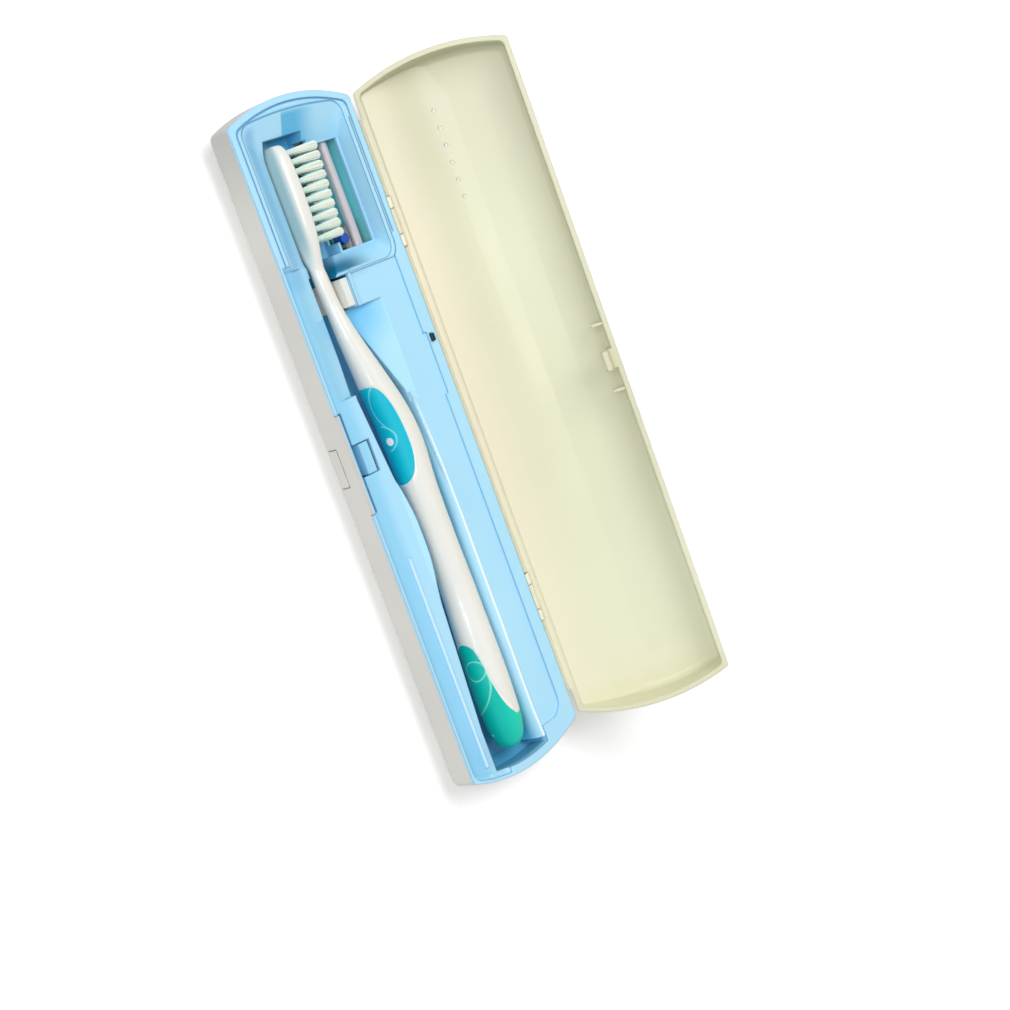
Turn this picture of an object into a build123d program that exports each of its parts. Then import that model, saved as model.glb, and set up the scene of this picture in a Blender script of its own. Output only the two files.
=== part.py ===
"""UV toothbrush sterilizer: a hinged travel case with a lamp, batteries and a toothbrush lying in it."""

import os
from math import atan2, cos, pi, radians, sin, sqrt, tan

from build123d import *

os.makedirs("parts", exist_ok=True)

# Case outline seen from above: straight sides, both ends bowed outwards
case_width = 50.0
corner_length = 204.5
end_sagitta = 5.3
corner_radius = 1.9
corner_growth = 0.3
lid_corner = 1.3

# Base shell
shell_top = 15.0
shell_wall = 1.4
bevel_start = 6.85
knee_round = 3.0
boss_top = 3.4
boss_radius = 3.0

# Inner tray
flange_thickness = 1.0
deck_drop = 0.8
plate_underside = 13.4
tray_wall = 1.2
tray_fit = 0.15
seat_gap = 0.1
step_y = 20.2
step_end = 98.9
step_corner = 5.5

# Long slot that the brush lies in
slot_floor = 4.8
slot_left = -12.4
slot_left_points = ((-30.0, -12.4), (-17.0, -13.3), (8.0, -10.6))
slot_waist_points = ((24.0, -8.9), (44.0, -9.9))
slot_left_end = (90.0, -13.2)
slot_middle = 36.0
slot_right = 9.8
slot_bulge = 0.8
channel_right = -1.0
channel_end = -42.5
diagonal_start = -2.9
diagonal_end_x = -14.0
diagonal_end_y = 6.6
ramp_end = -10.0
ramp_top = 9.4
ramp_low = 9.6

# Head chamber and the lamp opening in its floor
chamber_head = -103.4
chamber_neck = -52.5
chamber_latch_side = -21.6
chamber_hinge_side = 20.5
chamber_corner = 4.5
chamber_floor = 10.6
window_head = -92.3
window_neck = -58.7
window_hinge_side = 19.4
window_corner = 1.2
bay_left = -11.4
bay_right = 4.7
bay_foot = -55.0
bay_head = -96.5
bay_neck = -55.5
partition = 0.8
rim_groove_inset = 2.0
rim_groove_width = 0.6
mouth_groove_gap = 1.1
mouth_groove_width = 0.5
groove_depth = 0.4
groove_end = -59.6
mouth_groove_head = -96.0
mouth_groove_side = 14.0
light_slot_start = -93.6
light_slot_end = -62.0
light_slot_floor = 6.3

# Ledge and ridge on the latch side
lip_inner = -22.4
ledge_edge = -20.4
ledge_top = 14.1
slope_end = -18.5
slope_foot = 11.6
ridge_y = -16.4
ridge_radius = 0.7
ridge_start = 32.0
ridge_end = 100.5

# Latch in the middle of the front side
latch_gap = 31.0
latch_wall_y = -21.4
latch_wall_depth = 4.6
button_length = 11.6
button_height = 3.2
button_z = 9.0
button_proud = 0.3
button_round = 0.25
button_flange = 0.7
button_flange_extra = 1.4
button_fit = 0.2
catch_front = -19.6
catch_depth = 3.7
catch_length = 9.4
catch_x = -0.4
catch_fit = 0.3
latch_travel = 1.2
stem_height = 1.9
stem_length = 8.0
hook_x = -0.8
hook_length = 6.2
hook_outer = -22.3
hook_thickness = 1.2
hook_reach = 4.2
hook_barb = 1.1
lid_rib_places = (-12.0, 9.1)
lid_rib_edge = -19.6
lid_rib_width = 1.0
lid_rib_height = 4.5

# Lid
lid_open_angle = 124.26
lid_gap = 0.1
lid_height = 10.8
lid_wall = 1.5
lid_sagitta = 4.8
lid_draft = 1.1
lid_crown = 0.4
lid_crown_inset = 14.0
lid_shoulder = 3.6
lid_slope_start = -4.0
lid_slope_rise = 0.1
lid_hinge_rise = 2.2
lid_skirt = 1.5
lid_skirt_gap = 0.15
lid_skirt_wall = 1.2
lid_skirt_end = 8.0
vent_radius = 0.55
vent_pitch = 5.5
vent_count = 6
vent_first = -89.5
vent_y = 4.8

# Hinge
hinge_out = 1.0
hinge_drop = 1.2
knuckle_radius = 1.3
knuckle_clearance = 0.3
pin_radius = 0.6
pin_fit = 0.05
lid_knuckle = 8.0
base_knuckle = 3.6
knuckle_gap = 0.25
hinge_stations = (-62.0, 62.0)

# Lid switch
notch_start = -27.6
notch_end = -7.8
notch_side = 21.4
switch_x = -25.5
switch_y = 22.65
plunger_length = 2.4
plunger_width = 1.0
plunger_fit = 0.15
plunger_travel = 0.9
plunger_height = 5.6
switch_length = 12.8
switch_width = 3.4
switch_height = 3.9

# Lamp
lamp_radius = 1.6
lamp_length = 41.2
lamp_x = -75.1
lamp_y = 15.2
lamp_z = 7.4
lamp_fit = 0.05
holder_length = 3.2
holder_size = 4.4
holder_foot = 2.0
holder_top = 9.2
reflector_sheet = 0.4
reflector_y = 19.7
reflector_leg = 7.0
reflector_z = 3.9
reflector_top = 9.1
reflector_play = 0.5

# Circuit board
board_head = -66.0
board_battery_gap = 19.8
board_side = 7.7
board_width = 10.6
board_nose = 4.9
board_nose_gap = 1.7
board_thickness = 1.0
board_z = 4.0
board_post_radius = 1.5
board_posts = ((2.8, 10.2), (28.0, 16.2))
end_post_gap = 4.1
end_post_y = 12.0
transformer_size = (10.5, 8.0, 6.6)
transformer_gap = 1.6
transformer_y = 13.0
chip_size = (4.6, 3.0, 1.3)
chip_place = (8.4, 10.0)
small_capacitor = (3.4, 10.0, 1.7, 3.6)
large_capacitors = ((4.1, 12.6, 2.6, 6.5), (10.3, 13.6, 2.1, 5.5))

# Two batteries in line
battery_radius = 5.25
battery_length = 44.5
nub_radius = 1.9
nub_length = 0.9
battery_gap = 0.1
battery_y = 16.4
battery_clearance = 0.3
battery_margin = 9.75
contact_sheet = 0.4
contact_width = 8.4
contact_height = 8.0
contact_nose = 0.25
contact_nose_radius = 1.6
rib_thickness = 1.0
rib_foot = 3.2
rib_side = 22.6
cover_reach = 2.4
cover_side = 10.0
cover_edge = 22.3
cover_fit = 0.15
cradle_count = 4
cradle_thickness = 1.2
cradle_side = 12.6

# Screws
screw_radius = 1.0
screw_fit = 0.03
screw_clearance = 0.15
screw_head_radius = 1.8
screw_head_height = 1.3
screw_length = 8.0
screw_recess = 1.8
tray_boss_radius = 2.2
battery_screw_gap = 7.0
battery_screw_y = 14.5
free_screws = ((-96.0, 8.9), (-46.0, -15.8), (62.0, -15.8))

# Toothbrush, lying on its side
brush_z = 11.6
head_length = 33.5
head_width = 11.0
head_thickness = 4.9
head_face = -6.0
head_tip = -94.4
head_round = 4.2
head_edge = 1.7
tuft_rows = 10
tuft_pitch = 2.92
tuft_first = -91.2
tuft_lines = 4
tuft_line_pitch = 2.5
strand_side = 0.44
strand_pitch = 0.62
strands_across = 3
longest_bristle = 11.5
shortest_bristle = 9.2
backing = 0.8
backing_margin = 0.5
backing_fit = 0.05
grip_depth = 2.2
upper_grip_start = -19.0
upper_grip_peak = 1.0
upper_grip_end = 12.9
upper_grip_edge = -2.2
upper_grip_back = -7.6
dot_radius = 1.25
dot_x = -1.5
dot_rise = 1.2
tongue_start = 60.4
tongue_bend = (61.6, -7.4)
tongue_side = (66.5, -5.6)
tongue_run = (80.0, -4.2)
tongue_turn = (87.0, -1.2)
tongue_tip = (90.2, 1.3)
tongue_return = (88.4, 3.4)
tongue_far = (84.6, 9.0)
neck_rest_length = 8.6
neck_rest_top = 15.0
neck_rest_low = 7.6
neck_rest_fit = 0.2
neck_gap = 0.6
handle_sections = (
    (-64.0, -8.4, 4.4),
    (-54.0, -7.9, 4.8),
    (-48.0, -7.5, 4.8),
    (-42.0, -6.9, 5.4),
    (-36.0, -6.0, 6.6),
    (-30.0, -4.8, 7.8),
    (-24.0, -3.5, 9.1),
    (-18.0, -2.3, 10.4),
    (-12.0, -1.1, 11.5),
    (-6.0, -0.2, 12.1),
    (0.0, 0.2, 12.3),
    (6.0, 0.2, 12.0),
    (12.0, 0.0, 11.5),
    (24.0, 0.0, 10.9),
    (36.0, 0.1, 10.8),
    (48.0, 0.2, 11.0),
    (60.0, -0.2, 11.7),
    (72.0, -0.6, 12.5),
    (78.0, -0.8, 12.7),
    (84.0, -0.9, 12.5),
    (90.0, -1.0, 12.0),
    (95.0, -1.1, 10.7),
    (98.2, -1.2, 8.3),
    (99.8, -1.2, 4.8),
)

# Places worked out from the sizes above
half_width = case_width / 2
flange_top = shell_top + flange_thickness
deck_top = flange_top - deck_drop
slot_underside = slot_floor - tray_wall
ledge_underside = ledge_top - tray_wall
hinge_y = half_width + hinge_out
hinge_z = flange_top - hinge_drop
lid_rim = flange_top + lid_gap
knee_slope = tan(radians(22.5))
battery_z = plate_underside - battery_clearance - battery_radius
battery_start = corner_length / 2 - battery_margin - 2 * battery_length - battery_gap
battery_end = battery_start + 2 * battery_length + battery_gap
cover_start = battery_start - cover_reach
cover_end = battery_end + cover_reach
tray_inset = shell_wall + tray_fit
screw_places = (free_screws[0], (battery_start - battery_screw_gap, battery_screw_y), *free_screws[1:])
board_end = battery_start - board_battery_gap
board_nose_end = lamp_x + lamp_length / 2 + board_nose_gap
transformer_head = board_nose_end + transformer_gap
transformer_end = transformer_head + transformer_size[0]
post_places = [(board_head + x, y) for x, y in board_posts] + [(board_end - end_post_gap, end_post_y)]
slot_far = corner_length / 2 + end_sagitta
far = 130.0

# The open lid: its rim plane, with the axes that the closed lid would have
turned = radians(lid_open_angle)
rim_rise = lid_rim - hinge_z
lid_origin = (
    0,
    hinge_y - hinge_y * cos(turned) + rim_rise * sin(turned),
    hinge_z + hinge_y * sin(turned) + rim_rise * cos(turned),
)
lid_plane = Plane(origin=lid_origin, x_dir=(1, 0, 0), z_dir=(0, sin(turned), cos(turned)))
lid_section = Plane(origin=lid_origin, x_dir=lid_plane.y_dir, z_dir=lid_plane.x_dir)


def plan(inset, sagitta, corner_size=corner_radius):
    """Outline of the case, drawn in by an inset, with rounded corners."""
    radius = (half_width**2 + sagitta**2) / (2 * sagitta)
    apex = corner_length / 2 + sagitta
    side = half_width - inset
    corner = apex - radius + sqrt((radius - inset) ** 2 - side**2)
    with BuildSketch() as outline:
        with BuildLine():
            Line((-corner, -side), (corner, -side))
            ThreePointArc((corner, -side), (apex - inset, 0), (corner, side))
            Line((corner, side), (-corner, side))
            ThreePointArc((-corner, side), (inset - apex, 0), (-corner, -side))
        make_face()
        fillet(outline.vertices(), radius=corner_size + corner_growth * inset)
    return outline.sketch


def rounded(before, corner, after, radius, steps=4):
    """A profile of three points, with the middle one replaced by points of an arc."""
    back = atan2(before[1] - corner[1], before[0] - corner[0])
    ahead = atan2(after[1] - corner[1], after[0] - corner[0])
    opening = (ahead - back + pi) % (2 * pi) - pi
    middle = back + opening / 2
    reach = radius / sin(abs(opening) / 2)
    tangent = radius / tan(abs(opening) / 2)
    centre = (corner[0] + reach * cos(middle), corner[1] + reach * sin(middle))
    start = (corner[0] + tangent * cos(back), corner[1] + tangent * sin(back))
    end = (corner[0] + tangent * cos(ahead), corner[1] + tangent * sin(ahead))
    first = atan2(start[1] - centre[1], start[0] - centre[0])
    last = atan2(end[1] - centre[1], end[0] - centre[0])
    sweep = (last - first + pi) % (2 * pi) - pi
    turns = [first + sweep * step / steps for step in range(steps + 1)]
    arc = [(centre[0] + radius * cos(angle), centre[1] + radius * sin(angle)) for angle in turns]
    return [before, *arc, after]


def stack(levels, plane, sagitta, corner_size=corner_radius):
    """A closed form through plan outlines at each (inset, height)."""
    outlines = [plan(inset, sagitta, corner_size) for inset, height in levels]
    with BuildPart() as form:
        for outline, (inset, height) in zip(outlines, levels):
            with BuildSketch(plane.offset(height)):
                add(outline)
        loft(ruled=True)
    return form.part


def case_form(inset, top):
    """The base's outer form, drawn in square to its walls by an inset."""
    knee = bevel_start + inset * knee_slope
    levels = rounded((knee, inset), (inset, knee), (inset, top), max(knee_round - inset, 0.6))
    return stack(levels, Plane.XY, end_sagitta)


def lid_form(inset, bottom):
    """The lid's outer form, drawn in by an inset: its back slopes down to the hinge in an arc."""
    shoulder = lid_height - inset - lid_crown
    crown = lid_height - inset
    levels = rounded(
        (inset, bottom),
        (inset + lid_draft, shoulder),
        (lid_crown_inset, crown),
        lid_shoulder - inset,
        6,
    )
    form = stack(levels, lid_plane, lid_sagitta, lid_corner)
    apex = lid_height + lid_slope_rise
    span = half_width - lid_slope_start
    drop = apex - lid_hinge_rise
    radius = (span**2 + drop**2) / (2 * drop)
    middle = apex - radius
    reach = radius - inset
    side = half_width + 2
    turn = atan2(sqrt(reach**2 - (side - lid_slope_start) ** 2), side - lid_slope_start)
    halfway = (turn + pi / 2) / 2
    angles = (pi / 2, halfway, turn)
    arc_points = [(lid_slope_start + reach * cos(angle), middle + reach * sin(angle)) for angle in angles]
    with BuildSketch(lid_section.offset(-slot_far - 2)) as section:
        with BuildLine():
            rise = Line((-side, bottom - 1), (-side, apex - inset))
            top = Line(rise @ 1, arc_points[0])
            slope = ThreePointArc(*arc_points)
            back = Line(slope @ 1, (side, bottom - 1))
            Line(back @ 1, rise @ 0)
        make_face()
    slab = extrude(section.sketch, amount=2 * slot_far + 4)
    return form & slab


def block(x_low, x_high, y_low, y_high, z_low, z_high):
    """A rectangular block between the given limits."""
    middle = Pos((x_low + x_high) / 2, (y_low + y_high) / 2, (z_low + z_high) / 2)
    return middle * Box(x_high - x_low, y_high - y_low, z_high - z_low, mode=Mode.PRIVATE)


def bar(radius, x_low, x_high, y, z):
    """A round bar along the case."""
    middle = Pos((x_low + x_high) / 2, y, z) * Rot(0, 90, 0)
    return middle * Cylinder(radius, x_high - x_low, mode=Mode.PRIVATE)


def post(radius, x, y, z_low, z_high):
    """An upright round post."""
    middle = Pos(x, y, (z_low + z_high) / 2)
    return middle * Cylinder(radius, z_high - z_low, mode=Mode.PRIVATE)


def on_lid(shape):
    """Takes a shape from the closed lid's place to the open lid."""
    return lid_plane.location * Pos(0, 0, -lid_rim) * shape


def write(builder, name):
    """Labels a finished piece and writes its file."""
    builder.part.label = name
    export_step(builder.part, f"parts/{name}.step")


outer_plan = plan(0, end_sagitta)
outer_form = case_form(0, shell_top)
shell_hollow = case_form(shell_wall, flange_top)
tray_envelope = case_form(tray_inset, shell_top)
slot_envelope = case_form(tray_inset + tray_wall, flange_top + 1)
cover_slice = block(cover_start, cover_end, cover_side, cover_edge, -1, bevel_start)
knuckle_clear = knuckle_radius + knuckle_clearance
lid_swing = lid_knuckle / 2 + knuckle_gap
hinge_reach = lid_swing + base_knuckle + knuckle_gap
button_low = button_z - button_height / 2
button_high = button_z + button_height / 2

# Base shell
with BuildPart() as base_shell:
    add(outer_form)
    add(shell_hollow, mode=Mode.SUBTRACT)
    add(cover_slice, mode=Mode.SUBTRACT)
    for x, y in screw_places:
        add(post(boss_radius, x, y, shell_wall / 2, boss_top))
    for x, y in post_places:
        add(post(board_post_radius, x, y, shell_wall / 2, board_z))
    add(outer_form, mode=Mode.INTERSECT)
    for x, y in screw_places:
        add(post(screw_head_radius + screw_clearance, x, y, -1, screw_recess), mode=Mode.SUBTRACT)
        add(post(screw_radius + screw_clearance, x, y, 0, boss_top + 1), mode=Mode.SUBTRACT)
    tab = latch_gap / 2 - button_fit
    tab_top = flange_top - button_fit
    add(block(-tab, tab, -half_width, -half_width + shell_wall, shell_top - 1, tab_top))
    opening_half = button_length / 2 + button_fit
    opening_back = -half_width + shell_wall + 1
    opening_low = button_low - button_fit
    opening_high = button_high + button_fit
    add(
        block(-opening_half, opening_half, -half_width - 1, opening_back, opening_low, opening_high),
        mode=Mode.SUBTRACT,
    )
    for station in hinge_stations:
        for low in (station - lid_swing - base_knuckle, station + lid_swing):
            add(bar(knuckle_radius, low, low + base_knuckle, hinge_y, hinge_z))
            with BuildSketch(Plane.YZ.offset(low)):
                Polygon(
                    (half_width - shell_wall / 2, hinge_z - 6),
                    (half_width, hinge_z - 6),
                    (hinge_y + knuckle_radius * 0.8, hinge_z - knuckle_radius * 0.6),
                    (hinge_y, hinge_z),
                    (half_width - shell_wall / 2, hinge_z),
                    align=None,
                )
            extrude(amount=base_knuckle)
        reach = hinge_reach + 1
        add(
            bar(knuckle_clear, station - lid_swing, station + lid_swing, hinge_y, hinge_z),
            mode=Mode.SUBTRACT,
        )
        add(
            bar(pin_radius + pin_fit, station - reach, station + reach, hinge_y, hinge_z),
            mode=Mode.SUBTRACT,
        )
write(base_shell, "base_shell")

# Battery cover: the slice of wall with play all round, and ribs under the batteries
cradle_top = battery_z - battery_radius - cover_fit
cradle_pitch = 2 * battery_length / cradle_count
cover_inner = block(
    cover_start + cover_fit,
    cover_end - cover_fit,
    cover_side + cover_fit,
    cover_edge - cover_fit,
    -1,
    bevel_start,
)
with BuildPart() as battery_cover:
    add(outer_form)
    add(shell_hollow, mode=Mode.SUBTRACT)
    add(cover_inner, mode=Mode.INTERSECT)
    for number in range(cradle_count):
        middle = battery_start + cradle_pitch * (number + 0.5)
        half = cradle_thickness / 2
        add(block(middle - half, middle + half, cradle_side, battery_y, shell_wall / 2, cradle_top))
write(battery_cover, "battery_cover")

# Plan of the long slot: bay for the head, channel for the neck, trough for the handle
with BuildSketch() as slot_plan:
    with BuildLine():
        start = Line((bay_head, bay_right), (bay_head, bay_left))
        bay = Line(start @ 1, (bay_foot, bay_left))
        step = Line(bay @ 1, (bay_foot, slot_left))
        left = Polyline(step @ 1, *slot_left_points)
        waist = ThreePointArc(left @ 1, *slot_waist_points)
        taper = Polyline(waist @ 1, slot_left_end, (slot_far, slot_left_end[1]))
        end = Line(taper @ 1, (slot_far, slot_right))
        bulge_y = (slot_right + diagonal_end_y) / 2 + slot_bulge
        bulge = ThreePointArc(end @ 1, (slot_middle, bulge_y), (diagonal_end_x, diagonal_end_y))
        diagonal = Line(bulge @ 1, (channel_end, diagonal_start))
        rest = Line(diagonal @ 1, (channel_end, channel_right))
        channel = Line(rest @ 1, (chamber_neck, channel_right))
        corner = Line(channel @ 1, (bay_neck, bay_right))
        Line(corner @ 1, start @ 0)
    make_face()
slot_walls = offset(slot_plan.sketch, amount=tray_wall, kind=Kind.INTERSECTION)


def chamber_outline(head, neck, latch_side, hinge_side, corner, grow):
    """A four-sided outline with a bowed head end and rounded corners."""
    bow = 0.02 * (hinge_side - latch_side)
    side_head = head - grow + bow
    side_neck = neck + grow
    low = latch_side - grow
    high = hinge_side + grow
    with BuildSketch() as outline:
        with BuildLine():
            Line((side_neck, low), (side_neck, high))
            Line((side_neck, high), (side_head, high))
            ThreePointArc((side_head, high), (head - grow - bow, (low + high) / 2), (side_head, low))
            Line((side_head, low), (side_neck, low))
        make_face()
        fillet(outline.vertices(), radius=corner + grow)
    return outline.sketch


def chamber_mouth(grow):
    """The chamber's outline at the rim."""
    sides = (chamber_head, chamber_neck, chamber_latch_side, chamber_hinge_side)
    return chamber_outline(*sides, chamber_corner, grow)


def chamber(grow, top, bottom):
    """The chamber's sloping form, grown outwards for its skin."""
    mouth = chamber_mouth(grow)
    base = chamber_outline(window_head, window_neck, bay_left, window_hinge_side, window_corner, grow)
    with BuildPart() as form:
        with BuildSketch(Plane.XY.offset(bottom)):
            add(base)
        with BuildSketch(Plane.XY.offset(top)):
            add(mouth)
        loft(ruled=True)
    return form.part


chamber_skin = chamber(tray_wall, flange_top, chamber_floor - tray_wall)
chamber_pocket = chamber(0, flange_top, chamber_floor)
inner_plan = plan(tray_inset, end_sagitta)
lip_plan = plan(half_width + lip_inner, end_sagitta)

# Plans of the two grooves
rim_limit = Pos((groove_end - far) / 2, 0) * Rectangle(far + groove_end, case_width)
mouth_span = (-mouth_groove_head, half_width - mouth_groove_side)
mouth_limit = Pos(mouth_groove_head / 2, mouth_groove_side + mouth_span[1] / 2) * Rectangle(*mouth_span)
rim_groove = plan(rim_groove_inset, end_sagitta) - plan(rim_groove_inset + rim_groove_width, end_sagitta)
rim_groove = rim_groove & rim_limit
mouth_groove = chamber_mouth(mouth_groove_gap + mouth_groove_width) - chamber_mouth(mouth_groove_gap)
mouth_groove = mouth_groove & mouth_limit

# Plan of the sunken deck inside the border
with BuildSketch() as deck_plan:
    with BuildLine():
        side = Line((chamber_neck, 0), (chamber_neck, step_y))
        run = Line(side @ 1, (step_end - step_corner, step_y))
        curve = RadiusArc(run @ 1, (step_end, step_y - step_corner), step_corner)
        down = Line(curve @ 1, (step_end, 0))
        Line(down @ 1, side @ 0)
    make_face()
    with Locations(((notch_start + notch_end) / 2, (step_y + notch_side) / 2)):
        Rectangle(notch_end - notch_start, notch_side - step_y)

# Where the lid's knuckles, the catch and the lid switch pass the tray
contact_stack = contact_sheet + contact_nose
rib_starts = (battery_start - contact_stack - rib_thickness, battery_end + contact_stack)
catch_back = catch_front + catch_depth
catch_low = catch_x - catch_length / 2
catch_high = catch_x + catch_length / 2
latch_wall_z = ledge_top - latch_wall_depth
shell_inner = -half_width + shell_wall
switch_half = plunger_length / 2 + plunger_fit
switch_side = plunger_width / 2 + plunger_fit

# Inner tray
with BuildPart() as inner_tray:
    with BuildSketch(Plane.XY.offset(plate_underside)):
        add(inner_plan)
    extrude(amount=shell_top - plate_underside)
    with BuildSketch(Plane.YZ.offset(slope_end)):
        Polygon(
            (-half_width, ledge_underside),
            (slot_left, ledge_underside),
            (slot_left, shell_top),
            (-half_width, shell_top),
            align=None,
        )
    extrude(amount=far)
    with BuildSketch(Plane.YZ.offset(window_neck)):
        Polygon(
            (-half_width, ledge_underside),
            (ledge_edge, ledge_underside),
            (slot_left, slope_foot - tray_wall),
            (slot_left, shell_top),
            (-half_width, shell_top),
            align=None,
        )
    extrude(amount=slope_end - window_neck)
    add(chamber_skin)
    with BuildSketch(Plane.XY.offset(slot_underside)):
        add(slot_walls)
    extrude(amount=shell_top - slot_underside)
    with BuildSketch(Plane.YZ.offset(channel_end - tray_wall)):
        Polygon(
            (diagonal_start, ramp_low - tray_wall),
            (ramp_top + tray_wall, deck_top - tray_wall),
            (ramp_top + tray_wall, shell_top),
            (diagonal_start, shell_top),
            align=None,
        )
    extrude(amount=ramp_end - channel_end + 2 * tray_wall)
    latch_half = latch_gap / 2
    add(block(-latch_half, latch_half, latch_wall_y, latch_wall_y + tray_wall, latch_wall_z, shell_top))
    for x, y in screw_places:
        add(post(tray_boss_radius, x, y, boss_top + seat_gap, shell_top))
    for low in rib_starts:
        add(block(low, low + rib_thickness, slot_right + slot_bulge, rib_side, rib_foot, shell_top))
    add(tray_envelope, mode=Mode.INTERSECT)
    with BuildSketch(Plane.XY.offset(shell_top)):
        add(outer_plan)
    extrude(amount=flange_thickness)

    # Sunken surfaces: deck, ledge, slope beside the neck, ramp
    with BuildSketch(Plane.XY.offset(deck_top)):
        add(deck_plan.sketch)
    extrude(amount=2, mode=Mode.SUBTRACT)
    with BuildSketch(Plane.XY.offset(ledge_top)) as ledge_plan:
        add(lip_plan)
        with Locations(((window_neck + far) / 2, (lip_inner + slot_left) / 2 + 1)):
            Rectangle(far - window_neck, slot_left - lip_inner + 2, mode=Mode.INTERSECT)
    extrude(amount=2.5, taper=-45, mode=Mode.SUBTRACT)
    with BuildSketch(Plane.YZ.offset(window_neck)):
        Polygon(
            (ledge_edge, ledge_top),
            (slot_left + 1, slope_foot - 0.3),
            (slot_left + 1, flange_top + 1),
            (ledge_edge, flange_top + 1),
            align=None,
        )
    extrude(amount=slope_end - window_neck, mode=Mode.SUBTRACT)
    with BuildSketch(Plane.YZ.offset(channel_end)):
        Polygon(
            (diagonal_start, ramp_low),
            (ramp_top, deck_top),
            (ramp_top, flange_top + 1),
            (diagonal_start, flange_top + 1),
            align=None,
        )
    extrude(amount=ramp_end - channel_end, mode=Mode.SUBTRACT)

    # Head chamber, long slot and lamp opening
    add(chamber_pocket, mode=Mode.SUBTRACT)
    with BuildSketch(Plane.XY.offset(slot_floor)):
        add(slot_plan.sketch)
    slot_cut = extrude(amount=flange_top + 1 - slot_floor, mode=Mode.PRIVATE)
    add(slot_cut & slot_envelope, mode=Mode.SUBTRACT)
    window_side = bay_right + partition
    add(
        block(
            window_head + window_corner / 2,
            window_neck - window_corner / 2,
            window_side,
            window_hinge_side - window_corner / 2,
            slot_underside - 1,
            chamber_floor + 1,
        ),
        mode=Mode.SUBTRACT,
    )
    add(
        block(
            light_slot_start,
            light_slot_end,
            bay_right - 1,
            window_side + 1,
            light_slot_floor,
            flange_top + 1,
        ),
        mode=Mode.SUBTRACT,
    )

    # Grooves round the rim and round the chamber's mouth
    with BuildSketch(Plane.XY.offset(flange_top - groove_depth)):
        add(rim_groove)
    extrude(amount=2 * groove_depth, mode=Mode.SUBTRACT)
    with BuildSketch(Plane.XY.offset(flange_top - groove_depth)):
        add(mouth_groove)
    extrude(amount=2 * groove_depth, mode=Mode.SUBTRACT)

    # Latch: gap in the lip, slot for the hook, opening for the catch
    add(
        block(-latch_half, latch_half, -half_width - 1, latch_wall_y, latch_wall_z - 1, flange_top + 1),
        mode=Mode.SUBTRACT,
    )
    add(
        block(
            catch_low - catch_fit,
            catch_high + catch_fit,
            latch_wall_y - 1,
            catch_back + latch_travel + catch_fit,
            latch_wall_z - 1,
            flange_top + 1,
        ),
        mode=Mode.SUBTRACT,
    )

    # Lid switch slot, hinge relief, screw holes
    slot_x = (switch_x - switch_half, switch_x + switch_half)
    slot_y = (switch_y - switch_side, switch_y + switch_side)
    add(block(*slot_x, *slot_y, plate_underside - 1, flange_top + 1), mode=Mode.SUBTRACT)
    slot_out = (slot_y[0], half_width - 0.5)
    add(block(*slot_x, *slot_out, plate_underside - 1, shell_top - 0.3), mode=Mode.SUBTRACT)
    for station in hinge_stations:
        add(
            bar(knuckle_clear, station - hinge_reach, station + hinge_reach, hinge_y, hinge_z),
            mode=Mode.SUBTRACT,
        )
    screw_tip = screw_recess + screw_length
    for x, y in screw_places:
        add(post(screw_radius + screw_fit, x, y, 0, screw_tip + 0.4), mode=Mode.SUBTRACT)
    add(bar(ridge_radius, ridge_start, ridge_end, ridge_y, ledge_top))
write(inner_tray, "inner_tray")

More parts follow.
